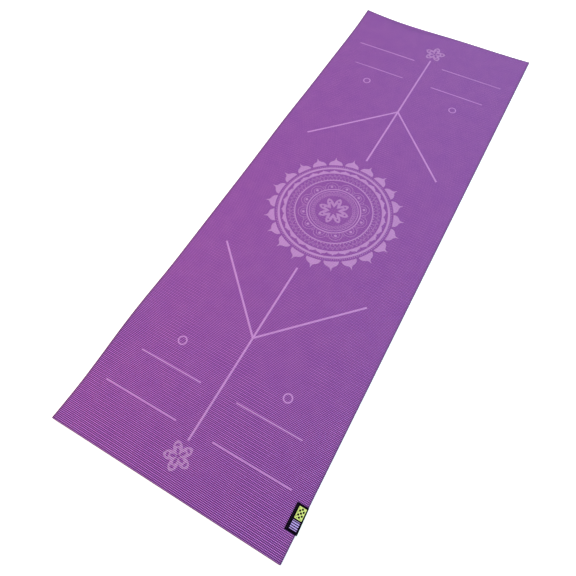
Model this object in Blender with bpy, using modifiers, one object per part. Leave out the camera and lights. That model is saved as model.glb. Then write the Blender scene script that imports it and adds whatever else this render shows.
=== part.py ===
"""A printed foam yoga mat lying flat, with a woven label sewn round its right edge.

Metres, +Z up. The origin is the middle of the underside, +Y runs along the mat to its far end,
and +X to the edge that carries the label.
"""

import math

import bmesh
import bpy

# The sheet: two foam layers laminated on a woven scrim
MAT_LENGTH = 1.727
MAT_WIDTH = 0.610
LOWER_FOAM_THICKNESS = 0.0022
UPPER_FOAM_THICKNESS = 0.0023
SCRIM_THICKNESS = 0.0003
LAYER_CLEARANCE = 0.0001
CORNER_RADIUS = 0.002

# The label, folded round the right edge and pressed into the foam by its stitching
LABEL_FROM_NEAR_END = 0.0925
LABEL_LENGTH = 0.0595
LABEL_LEAF = 0.0275
LABEL_THICKNESS = 0.0004
LABEL_SEAT_DEPTH = 0.0008
LABEL_CLEARANCE = 0.0001
LABEL_SLACK_FAR = 0.0006
LABEL_SLACK_NEAR = 0.0033
LABEL_FOLD_RADIUS = 0.0007

# The lockstitch along the label's inner edge
STITCH_COUNT = 12
STITCH_INSET = 0.0035
STITCH_END_MARGIN = 0.003
THREAD_THICKNESS = 0.00024
THREAD_CLEARANCE = 0.00003
NEEDLE_HOLE_RADIUS = 0.0004

# The ink, and where the printed pattern lies on the sheet
INK_THICKNESS = 0.00015
INK_CLEARANCE = 0.0001
PRINT_SHIFT_Y = -0.0175
SPINE_LINE_WIDTH = 0.0062
THIN_LINE_WIDTH = 0.0044

# Marks on each half, as shares of the way from the ornament's rim to the end flower's centre
FLOWER_FROM_END = 0.0905
JUNCTION_SHARE = 0.435
SPOT_SHARE = 0.592
INNER_BAR_SHARE = 0.710
OUTER_BAR_SHARE = 0.889
SPINE_TO_ORNAMENT = 0.0157
SPINE_TO_FLOWER = 0.005
ARM_ANGLE = math.radians(45)
ARM_FROM_EDGE = 0.091
BAR_FROM_AXIS = 0.050
INNER_BAR_FROM_EDGE = 0.078
OUTER_BAR_FROM_EDGE = 0.049
SPOT_FROM_EDGE = 0.154
SPOT_RADIUS = 0.0107
END_FLOWER_REACH = 0.035
END_FLOWER_PETALS = 5

# The centre ornament, from its middle outwards: bands of ink and the bare rings of foam between them
ORNAMENT_SHIFT_Y = -0.0020
CENTRE_FLOWER_REACH = 0.0425
CENTRE_FLOWER_PETALS = 8
FLOWER_TO_RING = 0.0261
FINE_RING_WIDTH = 0.0028
TWIN_RING_GAP = 0.0042
DOT_BAND_WIDTH = 0.0319
FILIGREE_BAND_WIDTH = 0.0241
SCALLOP_ROOT_WIDTH = 0.0034
SCALLOP_DEPTH = 0.0112
SCALLOP_COUNT = 28
SCALLOP_TO_RING = 0.0024
OUTER_RING_WIDTH = 0.0064
RING_TO_PETALS = 0.0084
PETAL_COUNT = 22
PETAL_HEIGHT = 0.0320
PETAL_GAP = 0.0070

# Half of a border petal, from the middle of its base to its tip, as shares of half width and height
PETAL_OUTLINE_SHARES = (
    (0.00, 0.00),
    (0.50, 0.00),
    (0.97, 0.00),
    (1.00, 0.10),
    (0.96, 0.22),
    (0.87, 0.33),
    (0.72, 0.43),
    (0.52, 0.515),
    (0.28, 0.58),
    (0.14, 0.64),
    (0.08, 0.76),
    (0.00, 1.00),
)

# Half of a scallop, from its foot to its point, as shares of half width and depth
SCALLOP_OUTLINE_SHARES = (
    (1.00, 0.00),
    (0.88, 0.24),
    (0.66, 0.43),
    (0.38, 0.57),
    (0.18, 0.68),
    (0.00, 1.00),
)

# Half of a flower's petal, from the notch beside it to its tip, as shares of reach and of the angle
# between notch and tip
FLOWER_OUTLINE_SHARES = (
    (0.50, 1.00),
    (0.60, 0.84),
    (0.70, 0.75),
    (0.80, 0.61),
    (0.89, 0.39),
    (0.96, 0.17),
    (1.00, 0.00),
)

# Bare places in a flower: an eye in each petal, and a heart that sends a slit up each petal
EYE_PLACE_SHARE = 0.77
EYE_LENGTH_SHARE = 0.062
EYE_WIDTH_SHARE = 0.072
SLIT_END_SHARE = 0.56
END_HEART_SHARE = 0.085
END_SLIT_WIDTH = 0.0028
CENTRE_HEART_SHARE = 0.18
CENTRE_SLIT_WIDTH = 0.0036

# How finely round outlines are cut
RING_SEGMENTS = 60
SPOT_SEGMENTS = 20
EYE_SEGMENTS = 8
CAP_SEGMENTS = 4
FOLD_SEGMENTS = 4
CORNER_SEGMENTS = 2
HOLE_SEGMENTS = 8
CUT_OVERRUN = 0.001

# Heights, from the floor up
SCRIM_BASE = LOWER_FOAM_THICKNESS + LAYER_CLEARANCE
UPPER_FOAM_BASE = SCRIM_BASE + SCRIM_THICKNESS + LAYER_CLEARANCE
MAT_TOP = UPPER_FOAM_BASE + UPPER_FOAM_THICKNESS
SHEET_MIDDLE = SCRIM_BASE + SCRIM_THICKNESS / 2
INK_HEIGHT = MAT_TOP + INK_CLEARANCE + INK_THICKNESS / 2
UPPER_LEAF_HEIGHT = MAT_TOP - LABEL_SEAT_DEPTH + LABEL_CLEARANCE + LABEL_THICKNESS / 2
LOWER_LEAF_HEIGHT = LABEL_SEAT_DEPTH - LABEL_CLEARANCE - LABEL_THICKNESS / 2

# Radii of the ornament's bands: the middles of its rings, and the edges of the rest
INNER_RING_RADIUS = CENTRE_FLOWER_REACH + FLOWER_TO_RING + FINE_RING_WIDTH / 2
TWIN_RING_RADIUS = INNER_RING_RADIUS + FINE_RING_WIDTH + TWIN_RING_GAP
MIDDLE_RING_RADIUS = TWIN_RING_RADIUS + FINE_RING_WIDTH + DOT_BAND_WIDTH
SCALLOP_BASE_RADIUS = MIDDLE_RING_RADIUS + FINE_RING_WIDTH / 2 + FILIGREE_BAND_WIDTH
SCALLOP_ROOT_RADIUS = SCALLOP_BASE_RADIUS + SCALLOP_ROOT_WIDTH
OUTER_RING_INSIDE = SCALLOP_ROOT_RADIUS + SCALLOP_DEPTH + SCALLOP_TO_RING
OUTER_RING_RADIUS = OUTER_RING_INSIDE + OUTER_RING_WIDTH / 2
PETAL_BASE_RADIUS = OUTER_RING_INSIDE + OUTER_RING_WIDTH + RING_TO_PETALS

# Places along and across the sheet
RIGHT_EDGE = MAT_WIDTH / 2
LABEL_MIDDLE_Y = LABEL_FROM_NEAR_END - MAT_LENGTH / 2
LABEL_INNER_X = RIGHT_EDGE - LABEL_LEAF
STITCH_X = LABEL_INNER_X + STITCH_INSET
STITCH_RUN = LABEL_LENGTH - 2 * STITCH_END_MARGIN
ORNAMENT_RIM = PETAL_BASE_RADIUS + PETAL_HEIGHT
FLOWER_DISTANCE = MAT_LENGTH / 2 - FLOWER_FROM_END
MARK_RUN = FLOWER_DISTANCE - ORNAMENT_RIM

# Colours in linear light
FOAM_PURPLE = (0.262, 0.088, 0.353)
SCRIM_WHITE = (0.72, 0.70, 0.74)
LABEL_BLACK = (0.010, 0.009, 0.016)
THREAD_BLACK = (0.014, 0.013, 0.020)
INK_LILAC = (0.521, 0.262, 0.623)


def clear_scene():
    for found in list(bpy.data.objects):
        bpy.data.objects.remove(found, do_unlink=True)


def new_collection(name):
    made = bpy.data.collections.new(name)
    bpy.context.scene.collection.children.link(made)
    return made


def new_material(name, colour, roughness):
    made = bpy.data.materials.new(name)
    made.use_nodes = True
    shader = made.node_tree.nodes["Principled BSDF"]
    shader.inputs["Base Color"].default_value = (*colour, 1)
    shader.inputs["Roughness"].default_value = roughness
    shader.inputs["Metallic"].default_value = 0
    return made


def add_mesh_object(name, mesh, collection, material=None):
    made = bpy.data.objects.new(name, mesh)
    if material:
        mesh.materials.append(material)
    collection.objects.link(made)
    return made


def box(name, low, high, collection, material=None, corner_radius=0):
    """A box between two corners, with its upright edges rounded where a radius is given."""
    shape = bmesh.new()
    bmesh.ops.create_cube(shape, size=1)
    for vertex in shape.verts:
        for axis in range(3):
            share = vertex.co[axis] + 0.5
            vertex.co[axis] = low[axis] + share * (high[axis] - low[axis])
    if corner_radius:
        upright = [e for e in shape.edges if e.verts[0].co.xy == e.verts[1].co.xy]
        bmesh.ops.bevel(
            shape, geom=upright, offset=corner_radius, segments=CORNER_SEGMENTS, profile=0.5,
            affect="EDGES",
        )
    mesh = bpy.data.meshes.new(name)
    shape.to_mesh(mesh)
    shape.free()
    return add_mesh_object(name, mesh, collection, material)


def flat_shape(name, outlines, thickness, height, collection, material):
    """A flat piece from closed outlines in the XY plane: the first is its edge, the others are holes."""
    curve = bpy.data.curves.new(name, "CURVE")
    curve.dimensions = "2D"
    curve.fill_mode = "BOTH"
    curve.extrude = thickness / 2
    for outline in outlines:
        spline = curve.splines.new("POLY")
        spline.points.add(len(outline) - 1)
        for point, (x, y) in zip(spline.points, outline):
            point.co = (x, y, 0, 1)
        spline.use_cyclic_u = True
    curve.materials.append(material)
    made = bpy.data.objects.new(name, curve)
    made.location.z = height
    collection.objects.link(made)
    return made


def cut(target, *cutters):
    for cutter in cutters:
        modifier = target.modifiers.new("cut_" + cutter.name, "BOOLEAN")
        modifier.operation = "DIFFERENCE"
        modifier.solver = "EXACT"
        modifier.object = cutter


def hide_cutter(cutter):
    cutter.hide_render = True
    cutter.display_type = "WIRE"
    return cutter


def circle_points(centre, radius, count):
    turns = [2 * math.pi * i / count for i in range(count)]
    return [(centre[0] + radius * math.cos(a), centre[1] + radius * math.sin(a)) for a in turns]


def ring_outlines(centre, radius, width, count):
    return [
        circle_points(centre, radius + width / 2, count),
        circle_points(centre, radius - width / 2, count),
    ]


def bar_outline(left, right, y, width):
    """A straight line of ink along X with half-round ends."""
    radius = width / 2
    points = []
    for middle, first in ((right - radius, -math.pi / 2), (left + radius, math.pi / 2)):
        for i in range(CAP_SEGMENTS + 1):
            angle = first + math.pi * i / CAP_SEGMENTS
            points.append((middle + radius * math.cos(angle), y + radius * math.sin(angle)))
    return points


def spine_outline(side):
    """The centre line and its two arms as one outline. side is 1 for the far half and -1 for the near one."""
    half = SPINE_LINE_WIDTH / 2
    outer_end = FLOWER_DISTANCE - END_FLOWER_REACH - SPINE_TO_FLOWER
    inner_end = ORNAMENT_RIM + SPINE_TO_ORNAMENT + side * ORNAMENT_SHIFT_Y
    junction = ORNAMENT_RIM + JUNCTION_SHARE * MARK_RUN
    arm_reach = RIGHT_EDGE - ARM_FROM_EDGE
    arm_drop = arm_reach / math.tan(ARM_ANGLE)
    across, along = half * math.cos(ARM_ANGLE), half * math.sin(ARM_ANGLE)
    crotch = half / math.sin(ARM_ANGLE)
    slope = half / math.tan(ARM_ANGLE)
    right = [
        (half, outer_end),
        (half, junction + crotch - slope),
        (arm_reach + across, junction - arm_drop + along),
        (arm_reach - across, junction - arm_drop - along),
        (half, junction - crotch - slope),
        (half, inner_end),
    ]
    left = [(-x, y) for x, y in reversed(right)]
    return [(x, PRINT_SHIFT_Y + side * y) for x, y in right + left]


def polar_point(centre, radius, angle):
    return (centre[0] + radius * math.cos(angle), centre[1] + radius * math.sin(angle))


def turned_points(centre, turn, points):
    """Points given along and across a ray from the centre that is turned from +X."""
    ux, uy = math.cos(turn), math.sin(turn)
    return [
        (centre[0] + along * ux - across * uy, centre[1] + along * uy + across * ux)
        for along, across in points
    ]


def flower_outlines(centre, reach, petals, turn, heart_share, slit_width):
    """Pointed petals joined round a bare heart, each with an eye near its tip and a slit below it.

    The edge runs from notch to tip and back by its outline shares. The heart is one hole: a
    circle with a straight slit up the axis of each petal.
    """
    half_turn = math.pi / petals
    eye_width = EYE_WIDTH_SHARE * 2 * reach * math.sin(half_turn)
    half_slit = slit_width / 2
    heart_start = math.sqrt((heart_share * reach) ** 2 - half_slit**2)
    slit_end = SLIT_END_SHARE * reach
    slit = (
        (heart_start, -half_slit), (slit_end - half_slit, -half_slit), (slit_end, 0),
        (slit_end - half_slit, half_slit), (heart_start, half_slit),
    )
    eye = [
        ((EYE_PLACE_SHARE + EYE_LENGTH_SHARE * x) * reach, eye_width * y)
        for x, y in circle_points((0, 0), 1, EYE_SEGMENTS)
    ]
    edge, heart, eyes = [], [], []
    for petal in range(petals):
        axis = turn + 2 * half_turn * petal
        right = [(reach * r, axis - half_turn * a) for r, a in FLOWER_OUTLINE_SHARES]
        left = [(reach * r, axis + half_turn * a) for r, a in reversed(FLOWER_OUTLINE_SHARES[1:-1])]
        edge += [polar_point(centre, *place) for place in right + left]
        heart += turned_points(centre, axis, slit)
        eyes.append(turned_points(centre, axis, eye))
    return [edge, heart, *eyes]


def scallop_outlines(centre):
    """A band whose outer edge is a row of pointed scallops that meet at their feet."""
    half_turn = math.pi / SCALLOP_COUNT
    edge = []
    for i in range(SCALLOP_COUNT):
        axis = 2 * half_turn * i
        right = [(-w, d) for w, d in SCALLOP_OUTLINE_SHARES]
        left = [(w, d) for w, d in reversed(SCALLOP_OUTLINE_SHARES[1:-1])]
        edge += [
            polar_point(centre, SCALLOP_ROOT_RADIUS + SCALLOP_DEPTH * d, axis + half_turn * w)
            for w, d in right + left
        ]
    return [edge, circle_points(centre, SCALLOP_BASE_RADIUS, RING_SEGMENTS)]


def petal_outline(centre, angle):
    """One pointed petal of the border, its width measured round the base circle and its height out from it."""
    half_width = math.pi * PETAL_BASE_RADIUS / PETAL_COUNT - PETAL_GAP / 2
    right = [(half_width * w, PETAL_HEIGHT * h) for w, h in PETAL_OUTLINE_SHARES]
    left = [(-x, y) for x, y in reversed(right[1:-1])]
    points = []
    for across, up in right + left:
        turn = angle + across / PETAL_BASE_RADIUS
        points.append(polar_point(centre, PETAL_BASE_RADIUS + up, turn))
    return points


def label_profile(slack):
    """The label's middle surface in X and Z: upper leaf, squared fold past the edge, lower leaf."""
    fold_x = RIGHT_EDGE + slack
    radius = LABEL_FOLD_RADIUS
    points = [(LABEL_INNER_X, UPPER_LEAF_HEIGHT)]
    corners = (
        (UPPER_LEAF_HEIGHT - radius, math.pi / 2),
        (LOWER_LEAF_HEIGHT + radius, 0),
    )
    for corner_z, first in corners:
        for i in range(FOLD_SEGMENTS + 1):
            angle = first - math.pi / 2 * i / FOLD_SEGMENTS
            points.append((
                fold_x - radius + radius * math.cos(angle),
                corner_z + radius * math.sin(angle),
            ))
    points.append((LABEL_INNER_X, LOWER_LEAF_HEIGHT))
    return points


def edge_label(collection, material):
    """A folded strip lofted between its far and near ends, whose folds stand off the edge unequally."""
    shape = bmesh.new()
    rows = []
    ends = ((LABEL_LENGTH / 2, LABEL_SLACK_FAR), (-LABEL_LENGTH / 2, LABEL_SLACK_NEAR))
    for offset, slack in ends:
        rows.append([
            shape.verts.new((x, LABEL_MIDDLE_Y + offset, z)) for x, z in label_profile(slack)
        ])
    far, near = rows
    for i in range(len(far) - 1):
        shape.faces.new((far[i], near[i], near[i + 1], far[i + 1]))
    bmesh.ops.recalc_face_normals(shape, faces=shape.faces)
    mesh = bpy.data.meshes.new("edge_label")
    shape.to_mesh(mesh)
    shape.free()
    made = add_mesh_object("edge_label", mesh, collection, material)
    wall = made.modifiers.new("cloth_thickness", "SOLIDIFY")
    wall.thickness = LABEL_THICKNESS
    wall.offset = 0
    wall.use_even_offset = True
    return made


def stitch_places():
    first = LABEL_MIDDLE_Y - STITCH_RUN / 2
    return [first + STITCH_RUN * i / STITCH_COUNT for i in range(STITCH_COUNT + 1)]


def needle_holes(collection):
    """One upright cutter for each needle hole, all in one mesh."""
    shape = bmesh.new()
    depth = MAT_TOP + 2 * CUT_OVERRUN
    for y in stitch_places():
        made = bmesh.ops.create_cone(
            shape, cap_ends=True, segments=HOLE_SEGMENTS, radius1=NEEDLE_HOLE_RADIUS,
            radius2=NEEDLE_HOLE_RADIUS, depth=depth,
        )
        bmesh.ops.translate(shape, verts=made["verts"], vec=(STITCH_X, y, MAT_TOP / 2))
    mesh = bpy.data.meshes.new("needle_holes")
    shape.to_mesh(mesh)
    shape.free()
    return hide_cutter(add_mesh_object("needle_holes", mesh, collection))


def thread_comb(name, side, collection, material):
    """One thread of the lockstitch: a run on the label with a leg down each needle hole.

    side is 1 for the needle thread on top and -1 for the bobbin thread underneath. The outline
    is drawn in X and Y, turned upright, and is as thick as the thread.
    """
    half = THREAD_THICKNESS / 2
    leaf = UPPER_LEAF_HEIGHT if side > 0 else LOWER_LEAF_HEIGHT
    seat = leaf + side * (LABEL_THICKNESS / 2 + THREAD_CLEARANCE)
    crown = seat + side * THREAD_THICKNESS
    lock = SHEET_MIDDLE + side * THREAD_CLEARANCE
    places = stitch_places()
    points = [(places[0] - half, crown), (places[-1] + half, crown)]
    for y in reversed(places):
        points += [(y + half, seat), (y + half, lock), (y - half, lock), (y - half, seat)]
    made = flat_shape(name, [points], THREAD_THICKNESS, 0, collection, material)
    made.rotation_euler = (math.pi / 2, 0, math.pi / 2)
    made.location = (STITCH_X, 0, 0)
    return made


def build_sheet(parts, cutters, foam, mesh_cloth):
    half = (RIGHT_EDGE, MAT_LENGTH / 2)
    layers = (
        ("foam_lower", 0, LOWER_FOAM_THICKNESS, foam),
        ("scrim_core", SCRIM_BASE, SCRIM_BASE + SCRIM_THICKNESS, mesh_cloth),
        ("foam_upper", UPPER_FOAM_BASE, MAT_TOP, foam),
    )
    made = {}
    for name, base, top, material in layers:
        made[name] = box(
            name, (-half[0], -half[1], base), (*half, top), parts, material, CORNER_RADIUS
        )
    seat_low = (LABEL_INNER_X - LABEL_CLEARANCE, LABEL_MIDDLE_Y - LABEL_LENGTH / 2 - LABEL_CLEARANCE)
    seat_high = (RIGHT_EDGE + CUT_OVERRUN, LABEL_MIDDLE_Y + LABEL_LENGTH / 2 + LABEL_CLEARANCE)
    upper_seat = hide_cutter(box(
        "upper_label_seat", (*seat_low, MAT_TOP - LABEL_SEAT_DEPTH),
        (*seat_high, MAT_TOP + CUT_OVERRUN), cutters,
    ))
    lower_seat = hide_cutter(box(
        "lower_label_seat", (*seat_low, -CUT_OVERRUN), (*seat_high, LABEL_SEAT_DEPTH), cutters
    ))
    holes = needle_holes(cutters)
    cut(made["foam_upper"], upper_seat, holes)
    cut(made["scrim_core"], holes)
    cut(made["foam_lower"], lower_seat, holes)
    return holes


def build_label(parts, holes, cloth, thread):
    label = edge_label(parts, cloth)
    cut(label, holes)
    thread_comb("label_needle_thread", 1, parts, thread)
    thread_comb("label_bobbin_thread", -1, parts, thread)


def print_film(name, outlines, parts, ink):
    return flat_shape(name, outlines, INK_THICKNESS, INK_HEIGHT, parts, ink)


def build_marks(parts, ink):
    """The spines, bars, spots and end flowers on the near and far halves of the mat."""
    bars = (
        ("inner", INNER_BAR_SHARE, INNER_BAR_FROM_EDGE),
        ("outer", OUTER_BAR_SHARE, OUTER_BAR_FROM_EDGE),
    )
    for end, side in (("near", -1), ("far", 1)):
        print_film(f"print_spine_{end}", [spine_outline(side)], parts, ink)
        flower_centre = (0, PRINT_SHIFT_Y + side * FLOWER_DISTANCE)
        flower = flower_outlines(
            flower_centre, END_FLOWER_REACH, END_FLOWER_PETALS, side * math.pi / 2,
            END_HEART_SHARE, END_SLIT_WIDTH,
        )
        print_film(f"print_flower_{end}", flower, parts, ink)
        for hand, across in (("left", -1), ("right", 1)):
            for kind, share, from_edge in bars:
                y = PRINT_SHIFT_Y + side * (ORNAMENT_RIM + share * MARK_RUN)
                left, right = sorted((across * BAR_FROM_AXIS, across * (RIGHT_EDGE - from_edge)))
                outline = bar_outline(left, right, y, THIN_LINE_WIDTH)
                print_film(f"print_bar_{end}_{kind}_{hand}", [outline], parts, ink)
            spot = (
                across * (RIGHT_EDGE - SPOT_FROM_EDGE),
                PRINT_SHIFT_Y + side * (ORNAMENT_RIM + SPOT_SHARE * MARK_RUN),
            )
            outlines = ring_outlines(spot, SPOT_RADIUS, THIN_LINE_WIDTH, SPOT_SEGMENTS)
            print_film(f"print_spot_{end}_{hand}", outlines, parts, ink)


def build_ornament(parts, ink):
    """The round ornament at the middle of the print, from its centre flower to its petal border."""
    centre = (0, PRINT_SHIFT_Y + ORNAMENT_SHIFT_Y)
    rings = (
        ("ornament_ring_inner", INNER_RING_RADIUS, FINE_RING_WIDTH),
        ("ornament_ring_inner_twin", TWIN_RING_RADIUS, FINE_RING_WIDTH),
        ("ornament_ring_middle", MIDDLE_RING_RADIUS, FINE_RING_WIDTH),
        ("ornament_ring_outer", OUTER_RING_RADIUS, OUTER_RING_WIDTH),
    )
    for name, radius, width in rings:
        print_film(name, ring_outlines(centre, radius, width, RING_SEGMENTS), parts, ink)
    print_film("ornament_scallop_band", scallop_outlines(centre), parts, ink)
    flower = flower_outlines(
        centre, CENTRE_FLOWER_REACH, CENTRE_FLOWER_PETALS, math.pi / 2,
        CENTRE_HEART_SHARE, CENTRE_SLIT_WIDTH,
    )
    print_film("ornament_centre_flower", flower, parts, ink)
    for i in range(PETAL_COUNT):
        angle = math.pi / 2 + 2 * math.pi * (i + 0.5) / PETAL_COUNT
        print_film(f"ornament_petal_{i + 1:02d}", [petal_outline(centre, angle)], parts, ink)


clear_scene()
yoga_mat = new_collection("yoga_mat")
cutting_shapes = new_collection("cutters")
foam_material = new_material("pvc_foam_purple", FOAM_PURPLE, 0.75)
scrim_material = new_material("polyester_scrim", SCRIM_WHITE, 0.9)
label_material = new_material("woven_label_black", LABEL_BLACK, 0.6)
thread_material = new_material("polyester_thread_black", THREAD_BLACK, 0.55)
ink_material = new_material("matte_ink_lilac", INK_LILAC, 0.8)
needle_cutter = build_sheet(yoga_mat, cutting_shapes, foam_material, scrim_material)
build_label(yoga_mat, needle_cutter, label_material, thread_material)
build_marks(yoga_mat, ink_material)
build_ornament(yoga_mat, ink_material)
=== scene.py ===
"""A printed foam yoga mat spread on a white floor, dressed over its CAD frame.

Metres, +Z up, with the origin at the middle of the underside. +Y runs along the mat to its far
end, and +X to the edge that carries the label.
"""
import math

import bpy
import numpy as np
from mathutils import Matrix, Vector


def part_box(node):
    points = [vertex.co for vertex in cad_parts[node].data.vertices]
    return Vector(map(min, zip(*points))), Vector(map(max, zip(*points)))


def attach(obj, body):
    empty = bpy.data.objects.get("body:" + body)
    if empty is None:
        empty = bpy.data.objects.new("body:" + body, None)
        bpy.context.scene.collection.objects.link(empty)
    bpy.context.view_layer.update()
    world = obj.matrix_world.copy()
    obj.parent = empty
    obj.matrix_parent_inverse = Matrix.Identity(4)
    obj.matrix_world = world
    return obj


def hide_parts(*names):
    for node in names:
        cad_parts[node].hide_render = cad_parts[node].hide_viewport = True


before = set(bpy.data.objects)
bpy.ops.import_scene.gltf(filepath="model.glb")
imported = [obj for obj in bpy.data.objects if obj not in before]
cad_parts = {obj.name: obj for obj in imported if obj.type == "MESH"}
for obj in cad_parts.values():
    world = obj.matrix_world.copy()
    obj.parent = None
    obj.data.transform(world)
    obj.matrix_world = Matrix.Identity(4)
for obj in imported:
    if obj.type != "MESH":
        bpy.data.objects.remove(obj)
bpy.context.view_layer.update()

scene = bpy.context.scene
scene.view_settings.view_transform = "Standard"


# Camera
# It looks down and along the mat from above the near end's right corner, as a hand-held camera
# would. Its place and turn were worked out from the mat's edges and printed circles.
CAMERA_PLACE = (0.3220, -0.8219, 1.1451)
CAMERA_RIGHT = (0.87192, 0.48933, -0.01752)
CAMERA_UP = (-0.42457, 0.77338, 0.47076)
CAMERA_FORWARD = (-0.24391, 0.40303, -0.88209)
LENS_MM = 30.71
SENSOR_MM = 36

camera_data = bpy.data.cameras.new("camera")
camera_data.sensor_width = SENSOR_MM
camera_data.lens = LENS_MM
camera = bpy.data.objects.new("camera", camera_data)
camera_turn = np.array((CAMERA_RIGHT, CAMERA_UP, [-a for a in CAMERA_FORWARD])).T
camera.matrix_world = Matrix.Translation(CAMERA_PLACE) @ Matrix(camera_turn.tolist()).to_4x4()
scene.collection.objects.link(camera)
scene.camera = camera


# Upper foam layer
# Soft PVC foam, embossed by a roller into rows of small pads, one straight behind another. It is
# cut to size with a knife, which drags the skin down over the cut. Shade is painted along the
# cuts.
mat_low, mat_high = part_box("foam_upper")
HALF_WIDTH = mat_high.x
NEAR_END, FAR_END = mat_low.y, mat_high.y
MAT_TOP, UPPER_FOAM_BASE = mat_high.z, mat_low.z
CORNER_RADIUS = 0.002
ROW_COUNT = 446
ROW_PITCH = (FAR_END - NEAR_END) / ROW_COUNT
PAD_PITCH = 0.00336
GROOVE_DEPTH = 0.00060

# One row from groove to groove: how far along its pitch, and how deep as a share of the groove
ROW_SHARES = ((0.0, 1.0), (0.2, 0.28), (0.5, 0.0), (0.8, 0.28))

# Where the mat hasn't settled flat. A curled corner is its x and y, how far in it reaches and how
# high it stands.
CURLED_CORNERS = (
    (-HALF_WIDTH, FAR_END, 0.150, 0.0088),
    (HALF_WIDTH, FAR_END, 0.110, 0.0016),
    (-HALF_WIDTH, NEAR_END, 0.120, 0.0050),
)

# Two places where the left edge stands up: the y of its top, its length along the edge, its height
EDGE_BUMPS = ((-0.568, 0.420, 0.0080), (0.250, 0.450, 0.0034))
BUMP_REACH = 0.085

# The far end was cut a little hollow: the middle of the hollow, its width and its depth
HOLLOW_X = -0.110
HOLLOW_WIDTH = 0.340
HOLLOW_DEPTH = 0.0030
HOLLOW_REACH = 0.040

# Long low waves left by the roll: length, direction in degrees, start in turns, half height
WAVES = ((0.46, 84, 0.10, 0.00035), (0.31, 107, 0.55, 0.00022), (0.27, 12, 0.30, 0.00018))

# The label's stitching presses a seat into the foam, with soft shoulders and flatter pads
label_low, label_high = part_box("edge_label")
SEAT_DEPTH = 0.00072
SEAT_SHOULDER = 0.0020
SEAT_FLATTENING_SHARE = 0.6

# The dragged skin along the cut: distance in from the edge, and the drop there
EDGE_DROPS = ((0, 0.00085), (0.0006, 0.00035), (0.0014, 0.00010), (0.0024, 0))

# Columns of the mesh: a few round the label's inner edge, measured from it, and even ones over the
# rest, which keep off the left edge and off those few. The sides' faces are several rows long.
SEAT_COLUMNS = (-0.0065, -0.0025, -0.0004, 0.0080, 0.0170)
PLAIN_COLUMNS = 33
PLAIN_OFF_EDGE = 0.006
PLAIN_OFF_SEAT = 0.008
LINES_PER_SIDE_FACE = 8


def smooth_step(share):
    """0 below 0, 1 above 1, and between them three squares of the share less two of its cubes."""
    held = np.clip(share, 0, 1)
    return held * held * (3 - 2 * held)


def mat_lift(x, y):
    """How far the mat stands off the floor. A curled corner rises with the square of the way in
    from its crease, which lies across the corner. An edge's bump is a squared cosine along it
    and falls with the square of the way in. The waves are sines that run from 0 up."""
    lift = np.zeros(np.broadcast(x, y).shape)
    for corner_x, corner_y, reach, height in CURLED_CORNERS:
        into = np.clip(1 - (abs(x - corner_x) + abs(y - corner_y)) / reach, 0, None)
        lift = lift + height * into**2
    into = np.clip(1 - (x + HALF_WIDTH) / BUMP_REACH, 0, None)
    for bump_y, length, height in EDGE_BUMPS:
        along = np.clip((y - bump_y) / length, -0.5, 0.5)
        lift = lift + height * np.cos(math.pi * along) ** 2 * into**2
    for length, degrees, start, height in WAVES:
        turn = math.radians(degrees)
        run = (x * math.cos(turn) + y * math.sin(turn)) / length + start
        lift = lift + height * (1 + np.sin(2 * math.pi * run))
    return lift


def seat_share(x, y):
    """1 under the label's leaf and 0 clear of it, with a smooth shoulder on three sides."""
    middle, half = (label_low.y + label_high.y) / 2, (label_high.y - label_low.y) / 2
    in_x = smooth_step((x - label_low.x) / SEAT_SHOULDER + 1)
    in_y = smooth_step((half - abs(y - middle)) / SEAT_SHOULDER + 1)
    return in_x * in_y


def row_lines():
    """Every y at which a row's profile bends, and the depth there as a share of the groove."""
    places, depths = np.array(ROW_SHARES).T
    y = NEAR_END + ROW_PITCH * (np.arange(ROW_COUNT)[:, None] + places)
    return np.append(y.ravel(), FAR_END), np.append(np.tile(depths, ROW_COUNT), depths[0])


def laid_out(y, z):
    """The points of a layer from its lines' y and a grid of heights. Each column is drawn in by a
    quarter circle at the corners. The far end's hollow is a squared cosine across it, and fades
    with the square of the way in from the end."""
    short = np.clip(CORNER_RADIUS - np.minimum(y - NEAR_END, FAR_END - y), 0, CORNER_RADIUS)
    half = HALF_WIDTH - CORNER_RADIUS + np.sqrt(CORNER_RADIUS**2 - short**2)
    x = x_columns * (half / HALF_WIDTH)[:, None]
    across = np.clip((x - HOLLOW_X) / HOLLOW_WIDTH, -0.5, 0.5)
    fade = np.clip(1 - (FAR_END - y) / HOLLOW_REACH, 0, None)[:, None] ** 2
    hollow = HOLLOW_DEPTH * np.cos(math.pi * across) ** 2 * fade
    return np.stack((x, y[:, None] - hollow, z), axis=2).reshape(-1, 3)


def solid_object(name, vertices, face_groups, materials, slots=None):
    """A mesh object from an array of points and arrays of faces, each holding faces of one size.
    slots gives each array's material. Faces in the first material are shaded smooth."""
    mesh = bpy.data.meshes.new(name)
    corners = np.concatenate([group.ravel() for group in face_groups])
    sizes = np.repeat([g.shape[1] for g in face_groups], [len(g) for g in face_groups])
    of_slot = np.repeat(slots or [0] * len(face_groups), [len(g) for g in face_groups])
    mesh.vertices.add(len(vertices))
    mesh.vertices.foreach_set("co", np.asarray(vertices, np.float32).ravel())
    mesh.loops.add(len(corners))
    mesh.loops.foreach_set("vertex_index", corners.astype(np.int32))
    mesh.polygons.add(len(sizes))
    mesh.polygons.foreach_set("loop_start", (np.cumsum(sizes) - sizes).astype(np.int32))
    mesh.polygons.foreach_set("material_index", of_slot.astype(np.int32))
    mesh.polygons.foreach_set("use_smooth", of_slot == 0)
    for material in materials:
        mesh.materials.append(material)
    mesh.update(calc_edges=True)
    made = bpy.data.objects.new(name, mesh)
    scene.collection.objects.link(made)
    return made


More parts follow.
